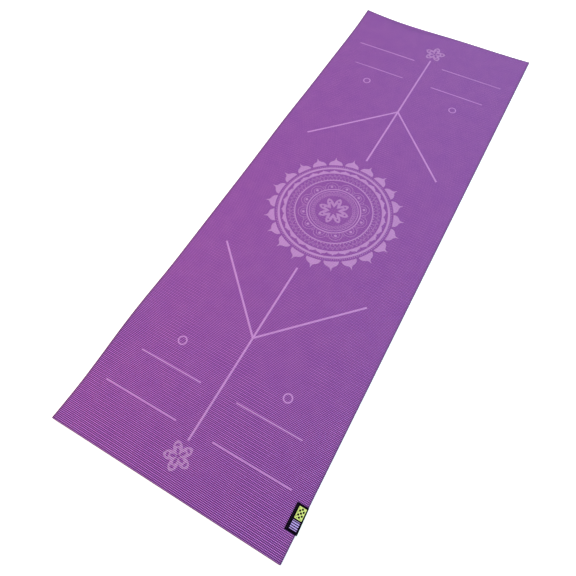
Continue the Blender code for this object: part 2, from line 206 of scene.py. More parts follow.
def grid_faces(rows, columns):
    """Quads of a grid numbered row by row, facing up where rows run +Y and columns run +X."""
    first = (np.arange(rows - 1)[:, None] * columns + np.arange(columns - 1)).ravel()
    return np.stack((first, first + 1, first + columns + 1, first + columns), axis=1)


def foam_layer(name, fine_y, fine_z, coarse_y, coarse_z, materials):
    """A closed layer between two grids of heights over the same columns. The fine one has more
    lines than the coarse one, so each face of the sides has one coarse edge and several fine."""
    rows, columns = fine_z.shape
    step, start = (rows - 1) // (len(coarse_y) - 1), rows * columns
    points = np.concatenate((laid_out(fine_y, fine_z), laid_out(coarse_y, coarse_z)))
    first = np.arange(len(coarse_y) - 1)[:, None]
    climb = (first * step + np.arange(step + 1)) * columns
    below = start + np.hstack((first, first + 1)) * columns
    left = np.hstack((climb, below[:, ::-1]))
    right = np.hstack((climb[:, ::-1], below)) + columns - 1
    across = np.arange(columns - 1)
    near = np.stack((across + 1, across, start + across, start + across + 1), axis=1)
    far_fine, far_coarse = start - columns + across, start + (len(coarse_y) - 1) * columns + across
    far = np.stack((far_fine, far_fine + 1, far_coarse + 1, far_coarse), axis=1)
    down = grid_faces(len(coarse_y), columns)[:, ::-1] + start
    groups = [grid_faces(rows, columns), down, left, right, near, far]
    if fine_z.mean() < coarse_z.mean():
        groups = [group[:, ::-1] for group in groups]
    return solid_object(name, points, groups, materials, [0, 0, 1, 1, 1, 1])


edge_in, edge_drop = np.array(EDGE_DROPS).T
seat_columns = label_low.x + np.array(SEAT_COLUMNS)
plain_columns = np.linspace(
    -HALF_WIDTH + PLAIN_OFF_EDGE, seat_columns[0] - PLAIN_OFF_SEAT, PLAIN_COLUMNS
)
x_columns = np.concatenate((
    -HALF_WIDTH + edge_in, plain_columns, seat_columns, (HALF_WIDTH - edge_in)[::-1],
))
y_lines, row_depths = row_lines()
side_lines = y_lines[::LINES_PER_SIDE_FACE]
from_end = np.minimum(y_lines - NEAR_END, FAR_END - y_lines)
drop = np.interp(np.minimum(from_end[:, None], HALF_WIDTH - abs(x_columns)), edge_in, edge_drop)
seat = seat_share(x_columns, y_lines[:, None])
lift = mat_lift(x_columns, y_lines[:, None])
side_lift = lift[::LINES_PER_SIDE_FACE]
relief = GROOVE_DEPTH * row_depths[:, None] * (1 - SEAT_FLATTENING_SHARE * seat)
pad_heights = MAT_TOP - relief - SEAT_DEPTH * seat - drop + lift


def linear(code):
    """An sRGB hex code as linear red, green, blue and alpha."""
    shares = [int(code[i:i + 2], 16) / 255 for i in (1, 3, 5)]
    return (*(s / 12.92 if s <= 0.04045 else ((s + 0.055) / 1.055) ** 2.4 for s in shares), 1)


def add_node(tree, kind, inputs=(), **settings):
    """A node with its settings, and its inputs by name or number. A node given as an input is
    joined from its first output, and a pair of a node and a name from the output of that name."""
    made = tree.nodes.new("ShaderNode" + kind)
    for setting, value in settings.items():
        setattr(made, setting, value)
    for socket, value in dict(inputs).items():
        if isinstance(value, bpy.types.Node):
            tree.links.new(value.outputs[0], made.inputs[socket])
        elif isinstance(value, tuple) and isinstance(value[0], bpy.types.Node):
            tree.links.new(value[0].outputs[value[1]], made.inputs[socket])
        else:
            made.inputs[socket].default_value = value
    return made


def new_material(name):
    """An empty material and its node tree."""
    made = bpy.data.materials.new(name)
    made.use_nodes = True
    made.node_tree.nodes.clear()
    return made, made.node_tree


# Embossed PVC foam has a matt skin with a weak sheen. Its grooves carry painted shade and its pads
# are painted lighter, more than on a real mat, because from this far a row is under 2 pixels wide
# and the renderer's filter evens it out.
PAD_TOP_POWER = 1.5
PAD_GAP_SHARE = 0.85
PAD_BUMP = 0.0003
GRAIN_SIZE = 0.0006
GRAIN_SHARE = 0.25
SKIN_SPECULAR = 0.25

# Away from the near end the pattern is drawn weaker, towards its mean, or else it shimmers: the y
# where that starts, the y where it ends, and the share that is left
PATTERN_MEAN = 0.244
PATTERN_FADE = (-0.60, -0.35, 0.46)

# Uneven colour: patches where every second row is darker, and slow mottling. A range gives the
# values of the noise between which each comes in.
TWIN_ROW_SHARE = 0.35
TWIN_ROW_PATCH = 0.16
TWIN_ROW_RANGE = (0.40, 0.60)
MOTTLE_SIZE = 0.045
MOTTLE_RANGE = (0.35, 0.65)

# Painted shade darkens the skin along the cuts: the axis and place of each edge, how much and how
# far in
PAINTED_EDGE_SHADE = (
    ("X", -HALF_WIDTH, 1.0, 0.012), ("X", HALF_WIDTH, 0.6, 0.012),
    ("Y", NEAR_END, 1.0, 0.006), ("Y", FAR_END, 1.0, 0.012),
)
EDGE_SHADE_POWER = 3.0


def raised_cosine(tree, turns, power):
    """1 at whole turns and 0 halfway between, sharpened by a power."""
    angle = add_node(tree, "Math", {0: turns, 1: 2 * math.pi}, operation="MULTIPLY")
    wave = add_node(tree, "Math", {0: angle}, operation="COSINE")
    share = add_node(tree, "Math", {0: wave, 1: 0.5, 2: 0.5}, operation="MULTIPLY_ADD")
    return add_node(tree, "Math", {0: share, 1: power}, operation="POWER")


def embossed_finish(
    name, colour, mottle_colour, groove_shade_colour, groove_shade_share, roughness, edge_shade_colour=None
):
    """A matt finish that follows the pads. It is painted lightest on their tops, and painted
    darker, as shade, in the grooves between rows and, less, in the gaps between a row's pads. In
    patches every second row is darker than the next, slow mottling runs over it all, and the
    pattern weakens away from the near end.
    A painted shade fades in from the mat's edges with the cube of the way. The rows are in the
    mesh, so only the gaps and the grain of the foam's skin are in the bump."""
    material, tree = new_material(name)
    place = add_node(tree, "TexCoord")
    split = add_node(tree, "SeparateXYZ", {0: (place, "Object")})
    row = add_node(
        tree, "Math", {0: (split, "Y"), 1: 1 / ROW_PITCH, 2: 0.5 - NEAR_END / ROW_PITCH},
        operation="MULTIPLY_ADD",
    )
    pad = add_node(tree, "Math", {0: (split, "X"), 1: 1 / PAD_PITCH}, operation="MULTIPLY")
    pair = add_node(tree, "Math", {0: row, 1: 0.5}, operation="MULTIPLY")
    tops = raised_cosine(tree, row, PAD_TOP_POWER)
    gaps = raised_cosine(tree, pad, 1.0)
    gaps = add_node(tree, "Math", {0: gaps, 1: PAD_GAP_SHARE}, operation="MULTIPLY")
    patch = add_node(
        tree, "TexNoise", {"Vector": (place, "Object"), "Scale": 1 / TWIN_ROW_PATCH, "Detail": 1}
    )
    patch_low, patch_high = TWIN_ROW_RANGE
    patch = add_node(
        tree, "MapRange", {0: patch, 1: patch_low, 2: patch_high, 4: TWIN_ROW_SHARE}
    )
    twins = raised_cosine(tree, pair, 1.0)
    twins = add_node(tree, "Math", {0: twins, 1: 0.5}, operation="SUBTRACT")
    twins = add_node(tree, "Math", {0: twins, 1: patch}, operation="MULTIPLY")
    for lost in (gaps, twins):
        kept = add_node(tree, "Math", {0: 1.0, 1: lost}, operation="SUBTRACT")
        tops = add_node(tree, "Math", {0: tops, 1: kept}, operation="MULTIPLY")
    fade_near, fade_far, fade_share = PATTERN_FADE
    strength = add_node(
        tree, "MapRange", {0: (split, "Y"), 1: fade_near, 2: fade_far, 3: 1.0, 4: fade_share}
    )
    depth = add_node(tree, "Math", {0: PATTERN_MEAN, 1: tops}, operation="SUBTRACT")
    depth = add_node(
        tree, "Math", {0: depth, 1: strength, 2: 1 - PATTERN_MEAN}, operation="MULTIPLY_ADD"
    )
    darkness = add_node(tree, "Math", {0: depth, 1: groove_shade_share}, operation="MULTIPLY")
    mottle = add_node(
        tree, "TexNoise", {"Vector": (place, "Object"), "Scale": 1 / MOTTLE_SIZE, "Detail": 3}
    )
    mottle_low, mottle_high = MOTTLE_RANGE
    mottle = add_node(tree, "MapRange", {0: mottle, 1: mottle_low, 2: mottle_high})
    skin = add_node(tree, "MixRGB", {0: mottle, 1: linear(colour), 2: linear(mottle_colour)})
    # Painted shade in the grooves between rows and the gaps between pads
    skin = add_node(tree, "MixRGB", {0: darkness, 1: skin, 2: linear(groove_shade_colour)})
    # Painted shade along the mat's cut edges, darkest right at the edge
    if edge_shade_colour:
        for axis, edge_place, share, reach in PAINTED_EDGE_SHADE:
            off = add_node(tree, "Math", {0: (split, axis), 1: edge_place}, operation="SUBTRACT")
            off = add_node(tree, "Math", {0: off}, operation="ABSOLUTE")
            edge_shade_share = add_node(tree, "MapRange", {0: off, 1: 0.0, 2: reach, 3: 1.0, 4: 0.0})
            edge_shade_share = add_node(tree, "Math", {0: edge_shade_share, 1: EDGE_SHADE_POWER}, operation="POWER")
            edge_shade_share = add_node(tree, "Math", {0: edge_shade_share, 1: share}, operation="MULTIPLY")
            skin = add_node(tree, "MixRGB", {0: edge_shade_share, 1: skin, 2: linear(edge_shade_colour)})
    grain = add_node(
        tree, "TexNoise", {"Vector": (place, "Object"), "Scale": 1 / GRAIN_SIZE, "Detail": 2}
    )
    height = add_node(tree, "Math", {0: 1.0, 1: gaps}, operation="SUBTRACT")
    height = add_node(
        tree, "Math", {0: grain, 1: GRAIN_SHARE, 2: height}, operation="MULTIPLY_ADD"
    )
    bump = add_node(tree, "Bump", {"Strength": 0.8, "Distance": PAD_BUMP, "Height": height})
    shader = add_node(tree, "BsdfPrincipled", {
        "Base Color": skin, "Roughness": roughness, "Specular IOR Level": SKIN_SPECULAR,
        "Normal": bump,
    })
    add_node(tree, "OutputMaterial", {0: shader})
    return material


# Skin and mottle colours, then the painted shade in the grooves and along the cut edges
foam_skin = embossed_finish(
    "embossed_pvc_foam", "#E888FC", "#F090FF", "#300156", groove_shade_share=1.0, roughness=0.45,
    edge_shade_colour="#2A1F30",
)

# Cut foam: the knife opens its cells, half a millimetre across, so it is duller than the skin
CELL_SIZE = 0.0005
foam_cut, cut_tree = new_material("cut_pvc_foam")
cut_place = add_node(cut_tree, "TexCoord")
cells = add_node(cut_tree, "TexVoronoi", {"Vector": (cut_place, "Object"), "Scale": 1 / CELL_SIZE})
cut_colour = add_node(cut_tree, "MixRGB", {0: cells, 1: linear("#7F4A8C"), 2: linear("#9A62A6")})
cut_bump = add_node(cut_tree, "Bump", {"Strength": 0.6, "Distance": CELL_SIZE, "Height": cells})
cut_shader = add_node(
    cut_tree, "BsdfPrincipled", {"Base Color": cut_colour, "Roughness": 0.85, "Normal": cut_bump}
)
add_node(cut_tree, "OutputMaterial", {0: cut_shader})

foam_top = foam_layer(
    "foam_top_layer", y_lines, pad_heights, side_lines, UPPER_FOAM_BASE + side_lift,
    (foam_skin, foam_cut),
)
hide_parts("foam_upper")
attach(foam_top, "root")


# Lower foam layer
# The same foam on the floor side, embossed with the same rows so that it grips.
grip_low, grip_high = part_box("foam_lower")
grip_heights = (grip_low.z + relief + SEAT_DEPTH * seat + lift)[::2]
foam_grip = foam_layer(
    "foam_grip_layer", y_lines[::2], grip_heights, side_lines, grip_high.z + side_lift,
    (foam_skin, foam_cut),
)
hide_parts("foam_lower")
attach(foam_grip, "root")


# Scrim
# An open mesh of polyester yarn, laminated between the foams so that the mat doesn't stretch.
# Only its cut ends show, as a pale dotted line along the middle of each edge.
scrim_low, scrim_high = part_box("scrim_core")
YARN_PITCH = 0.0030
YARN_SHARE = 0.45

# Laminated polyester mesh: dull, with pale yarns and the foams' purple in the holes between them
scrim_yarn, yarn_tree = new_material("laminated_polyester_mesh")
yarn_place = add_node(yarn_tree, "TexCoord")
yarn_split = add_node(yarn_tree, "SeparateXYZ", {0: (yarn_place, "Object")})
yarn_runs = []
for axis in ("X", "Y"):
    run = add_node(
        yarn_tree, "Math", {0: (yarn_split, axis), 1: 1 / YARN_PITCH}, operation="MULTIPLY"
    )
    run = add_node(yarn_tree, "Math", {0: run}, operation="FRACT")
    yarn_runs.append(add_node(yarn_tree, "Math", {0: run, 1: YARN_SHARE}, operation="LESS_THAN"))
yarn_mask = add_node(yarn_tree, "Math", {0: yarn_runs[0], 1: yarn_runs[1]}, operation="MAXIMUM")
yarn_colour = add_node(
    yarn_tree, "MixRGB", {0: yarn_mask, 1: linear("#7B4488"), 2: linear("#DCD6E0")}
)
yarn_shader = add_node(yarn_tree, "BsdfPrincipled", {"Base Color": yarn_colour, "Roughness": 0.8})
add_node(yarn_tree, "OutputMaterial", {0: yarn_shader})

scrim = foam_layer(
    "reinforcing_scrim", side_lines, scrim_high.z + side_lift, side_lines,
    scrim_low.z + side_lift, (scrim_yarn, scrim_yarn),
)
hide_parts("scrim_core")
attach(scrim, "root")


# Printed ink
# Lilac matt screen ink, made for PVC. The squeegee lays it over the pads, so it follows them and
# thins in the grooves, where some of the foam's purple shows through; painted shade darkens it
# there too.
INK_FACE_HEIGHT = 0.00010
INK_BACK_HEIGHT = 0.00003
INK_CELL = 0.0009

# Where each screen was laid: its middle in x and y, then how far its columns lean along x and its
# rows tilt along y, because the foam stretches a little under the squeegee
NEAR_MARKS = (-0.0018, -0.0175, -0.0027, -0.0013)
FAR_MARKS = (0.0014, -0.0195, 0.0028, 0.0030)
ORNAMENT = (-0.0012, -0.0195, 0, 0)

# Screen ink dries matt. The flowers have the widest solid patches, where the screen leaves less of
# it, and the alignment marks are narrow, where it leaves more, so more painted groove shade shows
# in the flowers.
INK_ROUGHNESS = 0.75
screen_ink = embossed_finish(
    "screen_ink_on_pvc", "#E9B4F7", "#EFBAFC", "#501A61", groove_shade_share=0.70,
    roughness=INK_ROUGHNESS,
)
thin_ink = embossed_finish(
    "thin_screen_ink", "#E9B4F7", "#EFBAFC", "#501A61", groove_shade_share=0.75,
    roughness=INK_ROUGHNESS,
)
full_ink = embossed_finish(
    "full_screen_ink", "#E9AFFA", "#F0B5FF", "#501A61", groove_shade_share=0.62,
    roughness=INK_ROUGHNESS,
)


def pad_height(x, y):
    """Height of the upper foam's mesh under each place: its grid's four heights round the place,
    mixed along the columns and then the lines, so that the ink lies on the mesh's own facets."""
    i = np.clip(np.searchsorted(y_lines, y) - 1, 0, len(y_lines) - 2)
    j = np.clip(np.searchsorted(x_columns, x) - 1, 0, len(x_columns) - 2)
    v = (y - y_lines[i]) / (y_lines[i + 1] - y_lines[i])
    u = (x - x_columns[j]) / (x_columns[j + 1] - x_columns[j])
    near = pad_heights[i, j] * (1 - u) + pad_heights[i, j + 1] * u
    far = pad_heights[i + 1, j] * (1 - u) + pad_heights[i + 1, j + 1] * u
    return near * (1 - v) + far * v


def print_ink(name, grid, screen, nodes=(), ring=False, ink=screen_ink):
    """A film of ink. grid holds places in the print as (patches, along, across, 2), measured from
    its screen's middle, and a ring's last place along joins its first. The film's face and back
    follow the pads, and a rim joins them all round."""
    patches, along, across, _ = grid.shape
    middle = grid[:, along // 2, across // 2]
    step_along = grid[:, along // 2 + 1, across // 2] - middle
    step_across = grid[:, along // 2, across // 2 - 1] - middle
    facing = step_along[:, 0] * step_across[:, 1] - step_along[:, 1] * step_across[:, 0]
    grid = np.where((facing > 0)[:, None, None, None], grid[:, :, ::-1], grid)
    middle_x, middle_y, lean, tilt = screen
    x = middle_x + grid[..., 0] + lean * grid[..., 1]
    y = middle_y + grid[..., 1] + tilt * grid[..., 0]
    base = pad_height(x, y)
    vertices = np.concatenate([
        np.stack((x, y, base + rise), axis=-1).reshape(-1, 3)
        for rise in (INK_FACE_HEIGHT, INK_BACK_HEIGHT)
    ])
    count = base.size
    number = np.arange(count).reshape(patches, along, across)
    if ring:
        number = np.concatenate((number, number[:, :1]), axis=1)
    a, b = number[:, :-1, :-1], number[:, 1:, :-1]
    c, d = number[:, 1:, 1:], number[:, :-1, 1:]
    face = np.stack((a, b, c, d), axis=-1).reshape(-1, 4)
    rims = [(b[:, :, 0], a[:, :, 0]), (d[:, :, -1], c[:, :, -1])]
    if not ring:
        rims += [(a[:, 0], d[:, 0]), (c[:, -1], b[:, -1])]
    rim = np.concatenate([
        np.stack((p, q, q + count, p + count), axis=-1).reshape(-1, 4) for p, q in rims
    ])
    film = solid_object(
        name, vertices, [face, face[:, ::-1] + count, rim], (ink, ink), [0, 0, 1]
    )
    if nodes:
        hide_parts(*nodes)
    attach(film, "root")
    return film


def polar(radius, angle):
    """Places from a distance and an angle round the print's middle."""
    return np.stack(np.broadcast_arrays(radius * np.cos(angle), radius * np.sin(angle)), axis=-1)


def steps(length):
    """How many places a length of ink needs, so that it follows the pads."""
    return int(length / INK_CELL) + 2


# Alignment marks: on each half a spine with two arms, four bars and two spots. A bar's place is
# its y and the x of its two ends, and its first and last lines of points are a small turn off its
# tips.
SPINE_WIDTH = 0.0054
SPINE_OUTER_END = 0.7340
ARM_GAP = 0.00005
BAR_PLACES = ((0.6077, 0.050, 0.227), (0.7102, 0.050, 0.256))
BAR_LINES = 335
BAR_TIP_TURN = 0.02
SPOT_PLACE = (0.151, 0.5396)
SPOT_RADIUS = 0.0107


def spine_grid(side, inner_end, junction, arm_reach):
    """The centre line and two arms as three strips. An arm runs at 45 degrees out of the centre
    line's edge, so where it starts depends on the place across it, and it ends square."""
    share = np.linspace(0, 1, steps(SPINE_OUTER_END - inner_end))[:, None]
    across = SPINE_WIDTH * np.linspace(-0.5, 0.5, steps(SPINE_WIDTH))
    line_y = inner_end + share * (SPINE_OUTER_END - inner_end)
    strips = [np.stack(np.broadcast_arrays(across, side * line_y), axis=-1)]
    diagonal = math.sqrt(0.5)
    for hand in (-1, 1):
        start = (SPINE_WIDTH / 2 + ARM_GAP) / diagonal - across
        run = start + share * (arm_reach / diagonal - start)
        arm_x, arm_y = (run + across) * diagonal, junction + (across - run) * diagonal
        strips.append(np.stack((hand * arm_x, side * arm_y), axis=-1))
    return np.stack(strips)


def bar_grid(side, width):
    """Four bars with half-round ends, where the half width is half a circle's chord. The lines
    of points stand closer towards the ends, by a cosine."""
    radius = width / 2
    turns = np.linspace(BAR_TIP_TURN, math.pi - BAR_TIP_TURN, BAR_LINES)
    share = (1 - np.cos(turns))[:, None] / 2
    bars = []
    for y, inner, outer in BAR_PLACES:
        from_end = np.clip((outer - inner) * np.minimum(share, 1 - share), 0, radius)
        half = np.sqrt(radius**2 - (radius - from_end) ** 2)
        across = half * np.linspace(-1, 1, steps(width))
        for hand in (-1, 1):
            x = hand * (inner + share * (outer - inner)) + 0 * across
            bars.append(np.stack((x, side * y + across), axis=-1))
    return np.stack(bars)


def ring_grid(radius, width, centre=(0, 0)):
    """A ring: round it, then across its width."""
    turns = np.linspace(0, 2 * math.pi, steps(2 * math.pi * radius), endpoint=False)[:, None]
    across = radius + width * np.linspace(-0.5, 0.5, steps(width))
    return (polar(across, turns) + centre)[None]


# Each half's side, its screen and the width of its bars and spots, then its spine: the inner end,
# the junction and how far the arms reach
for end, side, screen, width, *reaches in (
    ("near", -1, NEAR_MARKS, 0.0036, 0.2179, 0.4498, 0.2140),
    ("far", 1, FAR_MARKS, 0.0031, 0.2138, 0.4514, 0.2150),
):
    spine = spine_grid(side, *reaches)
    print_ink(f"ink_spine_{end}", spine, screen, [f"print_spine_{end}"], ink=full_ink)
    bar_nodes = [
        f"print_bar_{end}_{kind}_{hand}"
        for kind in ("inner", "outer") for hand in ("left", "right")
    ]
    print_ink(f"ink_bars_{end}", bar_grid(side, width), screen, bar_nodes, ink=full_ink)
    spots = [
        ring_grid(SPOT_RADIUS, width, (hand * SPOT_PLACE[0], side * SPOT_PLACE[1]))
        for hand in (-1, 1)
    ]
    print_ink(
        f"ink_spots_{end}", np.concatenate(spots), screen,
        [f"print_spot_{end}_{hand}" for hand in ("left", "right")], ring=True, ink=full_ink,
    )

# Flowers: one at each end of the mat and one in the middle of the ornament. The shares are of the
# flower's reach, and the width of a petal also of the sine of half its turn. A hole on a petal's
# axis is its distance out, half length, half width and power.
PETAL_WIDTH_SHARE = 0.54
PETAL_ROUNDS_FROM = 0.62
ROUNDING_POWER, BLUNTING_POWER = 2.4, 0.8
TIP_SHARE = 0.05
TIP_LINES, HOLE_LINES = 8, 13
HAIR_GAP = 0.00001
END_FLOWER_PLACE = 0.773
END_FLOWER = {
    "reach": 0.0355, "petals": 5, "heart": 0.0042,
    "holes": ((0.0118, 0.0066, 0.0036, 2), (0.0254, 0.0030, 0.0054, 2)),
}
CENTRE_FLOWER = {
    "reach": 0.0460, "petals": 8, "heart": 0.0095,
    "holes": ((0.0105, 0.0185, 0.0046, 1), (0.0345, 0.0030, 0.0030, 2)),
}


def flower_grid(centre, turn, reach, petals, heart, holes):
    """Petals in two halves each, from the bare heart out and from the axis to the outline. The
    half width is even, then falls to the tip as one less a power of the way there, itself to a
    power, but neighbours stop where they meet. A hole is an ellipse by the power 2, and straight
    sided by the power 1."""
    half_turn = math.pi / petals
    ends = np.cos(np.linspace(0, math.pi, HOLE_LINES))
    tip = 1 - TIP_SHARE * (1 - np.sin(np.linspace(0, math.pi / 2, TIP_LINES))) ** 2
    lines = np.concatenate(
        [np.linspace(heart / reach, 1 - TIP_SHARE, steps(reach)), tip]
        + [(place + half_length * ends) / reach for place, half_length, _, _ in holes]
    )
    share = np.unique(np.round(np.clip(lines, heart / reach, 1), 4))
    distance = share * reach
    rounding = np.clip((share - PETAL_ROUNDS_FROM) / (1 - PETAL_ROUNDS_FROM), 0, 1)
    width = PETAL_WIDTH_SHARE * reach * math.sin(half_turn)
    width = width * (1 - rounding**ROUNDING_POWER) ** BLUNTING_POWER
    outline = np.minimum(width / distance, half_turn) - HAIR_GAP / distance
    start = np.full(share.shape, HAIR_GAP)
    for place, half_length, half_width, power in holes:
        off = np.clip(abs(distance - place) / half_length, 0, 1)
        start = np.maximum(start, half_width * (1 - off**power) ** (1 / power))
    start = start / distance
    outline = np.maximum(outline, start + HAIR_GAP / distance)
    across = np.linspace(0, 1, steps(reach * math.sin(half_turn)))
    half = start[:, None] + (outline - start)[:, None] * across
    halves = [
        polar(distance[:, None], turn + 2 * half_turn * k + hand * half)
        for k in range(petals) for hand in (-1, 1)
    ]
    return np.stack(halves) + centre


for end, side, screen in (("near", -1, NEAR_MARKS), ("far", 1, FAR_MARKS)):
    flower = flower_grid((0, side * END_FLOWER_PLACE), side * math.pi / 2, **END_FLOWER)
    print_ink(f"ink_flower_{end}", flower, screen, [f"print_flower_{end}"], ink=thin_ink)
centre_flower = flower_grid((0, 0), math.pi / 2, **CENTRE_FLOWER)
print_ink(
    "ink_centre_flower", centre_flower, ORNAMENT, ["ornament_centre_flower"], ink=thin_ink
)

# Rings of the ornament, by radius and width: two fine ones together, one fine one and a broad one
for name, radius, width in (
    ("inner", 0.0699, 0.0021), ("inner_twin", 0.0770, 0.0035),
    ("middle", 0.1117, 0.0036), ("outer", 0.1576, 0.0068),
):
    ring = ring_grid(radius, width)
    print_ink(f"ink_ring_{name}", ring, ORNAMENT, [f"ornament_ring_{name}"], ring=True)

# Scallops: a band from a base circle to a root circle, on which half ellipses stand. Each is drawn
# up to a point at its middle by an exponential fall to both sides.
SCALLOP_BASE, SCALLOP_ROOT, SCALLOP_COUNT = 0.1372, 0.1406, 28
SCALLOP_HUMP, SCALLOP_POINT, POINT_SHARE = 0.0068, 0.0044, 0.09
SCALLOP_STEPS, SCALLOP_LINES = 40, 15
way = np.linspace(-1, 1, SCALLOP_STEPS, endpoint=False)
way = np.sign(way) * (1 - np.cos(math.pi * way)) / 2
turns = (2 * math.pi * (np.arange(SCALLOP_COUNT)[:, None] + way / 2) / SCALLOP_COUNT).ravel()
hump = SCALLOP_HUMP * np.sqrt(1 - way**2) + SCALLOP_POINT * np.exp(-abs(way) / POINT_SHARE)
scallop_depth = SCALLOP_ROOT - SCALLOP_BASE + np.tile(hump, SCALLOP_COUNT)[:, None]
scallop_radius = SCALLOP_BASE + np.linspace(0, 1, SCALLOP_LINES) * scallop_depth
scallops = polar(scallop_radius, turns[:, None])[None]
print_ink("ink_scallop_band", scallops, ORNAMENT, ["ornament_scallop_band"], ring=True)

# Border: separate pointed petals that stand on a circle. Each is a dome with a needle on it, whose
# places are shares of the petal's height and whose widths are shares of half its own.
BORDER_COUNT = 22
BORDER_BASE = 0.1700
BORDER_HEIGHT = 0.0310
BORDER_GAP = 0.0070
BORDER_STEPS, BORDER_LINES = 42, 38
DOME_SHARE = 0.58
NEEDLE_FROM = 0.565
NEEDLE_STEP = 0.003
NEEDLE_ROOT, NEEDLE_TIP = 0.3, 0.004
FILLET_WIDTH, FILLET_FALL = 0.23, 0.05


def border_grid():
    """Petals from base to tip and from side to side. The half width is that of half an ellipse
    over the lower part, then of a needle that tapers evenly, with an exponential fillet at its
    root."""
    share = np.linspace(0, 1, BORDER_STEPS)
    height = np.sort(np.append(share, (NEEDLE_FROM - NEEDLE_STEP, NEEDLE_FROM)))[:, None]
    dome = np.sqrt(np.clip(1 - (height / DOME_SHARE) ** 2, 0, None))
    fillet = FILLET_WIDTH * np.exp((NEEDLE_FROM - height) / FILLET_FALL)
    needle = NEEDLE_ROOT * (1 - height) + fillet + NEEDLE_TIP
    widest = math.pi * BORDER_BASE / BORDER_COUNT - BORDER_GAP / 2
    half = widest * np.where(height < NEEDLE_FROM, dome, needle)
    across = np.linspace(-1, 1, BORDER_LINES) * half / BORDER_BASE
    turns = math.pi / 2 + 2 * math.pi * (np.arange(BORDER_COUNT) + 0.5) / BORDER_COUNT
    return polar(BORDER_BASE + BORDER_HEIGHT * height, turns[:, None, None] + across)


border_nodes = [f"ornament_petal_{i + 1:02d}" for i in range(BORDER_COUNT)]
print_ink("ink_border_petals", border_grid(), ORNAMENT, border_nodes)


# Points across a dot and across a line
DISC_PLACES = 7
STRIP_PLACES = 3


def disc_grid(centres, radius):
    """Round dots, each a square grid bent onto a disc: x shrinks with the square of y and y with
    the square of x, so there is no pole."""
    side = np.linspace(-1, 1, DISC_PLACES)
    u, v = np.meshgrid(side, side)
    disc = radius * np.stack((u * np.sqrt(1 - v**2 / 2), v * np.sqrt(1 - u**2 / 2)), axis=-1)
    return np.asarray(centres)[:, None, None, :] + disc


def strip_grid(paths, width, closed=False):
    """Lines of ink along paths of (patches, along, 2), with half the width to each side."""
    if closed:
        ahead = np.roll(paths, -1, axis=1) - np.roll(paths, 1, axis=1)
    else:
        ahead = np.gradient(paths, axis=1)
    ahead = ahead / np.linalg.norm(ahead, axis=2, keepdims=True)
    aside = np.stack((-ahead[..., 1], ahead[..., 0]), axis=-1)
    across = width * np.linspace(-0.5, 0.5, STRIP_PLACES)
    return paths[:, :, None, :] + across[:, None] * aside[:, :, None, :]


# Dots on a circle, each under two nested arches that spring from the twin ring, with a bead
# between the feet of one set and the next. An arch is half its span and its height.
DOT_COUNT = 12
DOT_CIRCLE = 0.0868
DOT_RADIUS = 0.0041
FOOT_BEAD_CIRCLE = 0.0906
FOOT_BEAD_RADIUS = 0.0015
ARCH_BASE = 0.0786
ARCHES = ((0.0114, 0.0156), (0.0188, 0.0234))
ARCH_WIDTH = 0.0012
ARCH_STEPS = 44
ARCH_FOOT_TURN = 0.04
dot_turns = math.pi / 2 + 2 * math.pi * np.arange(DOT_COUNT) / DOT_COUNT
foot_turns = dot_turns + math.pi / DOT_COUNT
dots = disc_grid(polar(DOT_CIRCLE, dot_turns), DOT_RADIUS)
print_ink("ink_dots", dots, ORNAMENT)
foot_beads = disc_grid(polar(FOOT_BEAD_CIRCLE, foot_turns), FOOT_BEAD_RADIUS)
print_ink("ink_foot_beads", foot_beads, ORNAMENT)
arch_turns = np.linspace(ARCH_FOOT_TURN, math.pi - ARCH_FOOT_TURN, ARCH_STEPS)
for number, (half_span, height) in enumerate(ARCHES):
    sideways = half_span * np.cos(arch_turns) / ARCH_BASE
    arches = polar(ARCH_BASE + height * np.sin(arch_turns), dot_turns[:, None] + sideways)
    print_ink(f"ink_arches_{number + 1}", strip_grid(arches, ARCH_WIDTH), ORNAMENT)

# Two bands of waves, which cross in the inner one, with beads in their hollows. A band is its
# circle, its reach to each side of it, its count of waves, the width of their lines, the radius of
# its beads, and the side to which each of its lines sets out.
WAVE_STEPS = 20
for name, circle, reach, waves, width, bead, hands in (
    ("inner", 0.0598, 0.0064, 24, 0.0010, 0.0012, (-1, 1)),
    ("outer", 0.1262, 0.0062, 60, 0.0009, 0.0010, (1,)),
):
    turns = np.linspace(0, 2 * math.pi, waves * WAVE_STEPS, endpoint=False)
    for number, hand in enumerate(hands):
        wave = polar(circle + hand * reach * np.sin(waves * turns), turns)[None]
        strip = strip_grid(wave, width, closed=True)
        print_ink(f"ink_wave_{name}_{number + 1}", strip, ORNAMENT, ring=True)
    bead_turns = 2 * math.pi * (np.arange(2 * waves) + 0.5) / (2 * waves)
    beads = disc_grid(polar(circle, bead_turns), bead)
    print_ink(f"ink_beads_{name}", beads, ORNAMENT)

# A row of beads inside the outer band of waves
BEAD_COUNT = 80
BEAD_CIRCLE = 0.1160
BEAD_RADIUS = 0.0016
row_turns = 2 * math.pi * np.arange(BEAD_COUNT) / BEAD_COUNT
print_ink("ink_bead_row", disc_grid(polar(BEAD_CIRCLE, row_turns), BEAD_RADIUS), ORNAMENT)

# A circle of short ticks between the broad ring and the border
TICK_COUNT = 176
TICK_INNER, TICK_OUTER = 0.1622, 0.1660
TICK_WIDTH = 0.0013
TICK_STEPS = 6
tick_run = np.linspace(TICK_INNER, TICK_OUTER, TICK_STEPS)
tick_turns = 2 * math.pi * np.arange(TICK_COUNT)[:, None] / TICK_COUNT
print_ink("ink_ticks", strip_grid(polar(tick_run, tick_turns), TICK_WIDTH), ORNAMENT)


